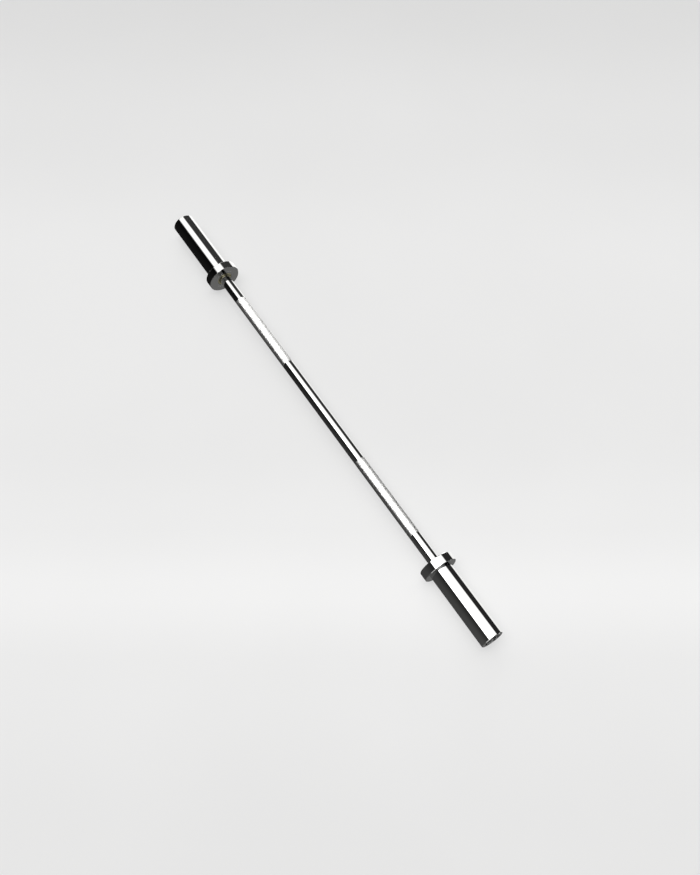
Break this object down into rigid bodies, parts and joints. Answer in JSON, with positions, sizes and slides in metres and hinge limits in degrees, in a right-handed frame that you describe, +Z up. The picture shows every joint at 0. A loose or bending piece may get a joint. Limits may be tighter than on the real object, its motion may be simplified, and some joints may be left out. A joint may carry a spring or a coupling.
{
  "type": "olympic barbell",
  "caption": "Short straight chrome barbell: a steel shaft with knurled hand bands, and loadable sleeves with thick collars that spin on bushes.",
  "frame": {"origin": "middle of the shaft, on its axis", "axes": "+X along the bar towards the right sleeve, +Z up when the bar lies level"},
  "size_m": [1.22, 0.075, 0.075],
  "materials": {
    "chrome_shaft": "bright chrome over steel, knurled in two bands",
    "chrome_sleeve": "bright chrome, polished smooth",
    "chrome_collar": "bright chrome, turned faces",
    "bronze": "plain oiled bronze",
    "washer_steel": "ground steel",
    "spring_steel": "dark oiled spring steel",
    "cap_steel": "turned plated steel, bare"
  },
  "bodies": {
    "bar": {"shaft": "chrome_shaft", "right_shoulder_washer": "washer_steel", "right_thrust_washer": "bronze", "right_backing_washer": "washer_steel", "right_shaft_snap_ring": "spring_steel", "left_shoulder_washer": "washer_steel", "left_thrust_washer": "bronze", "left_backing_washer": "washer_steel", "left_shaft_snap_ring": "spring_steel"},
    "right_end": {"right_sleeve": "chrome_sleeve", "right_collar": "chrome_collar", "right_inner_bush": "bronze", "right_outer_bush": "bronze", "right_end_cap": "cap_steel", "right_cap_snap_ring": "spring_steel"},
    "left_end": {"left_sleeve": "chrome_sleeve", "left_collar": "chrome_collar", "left_inner_bush": "bronze", "left_outer_bush": "bronze", "left_end_cap": "cap_steel", "left_cap_snap_ring": "spring_steel"}
  },
  "joints": [
    {"name": "right_sleeve_spin", "type": "hinge", "parent": "bar", "child": "right_end", "pos_m": [0.5, 0, 0], "axis": [1, 0, 0], "continuous": true},
    {"name": "left_sleeve_spin", "type": "hinge", "parent": "bar", "child": "left_end", "pos_m": [-0.5, 0, 0], "axis": [1, 0, 0], "continuous": true}
  ]
}
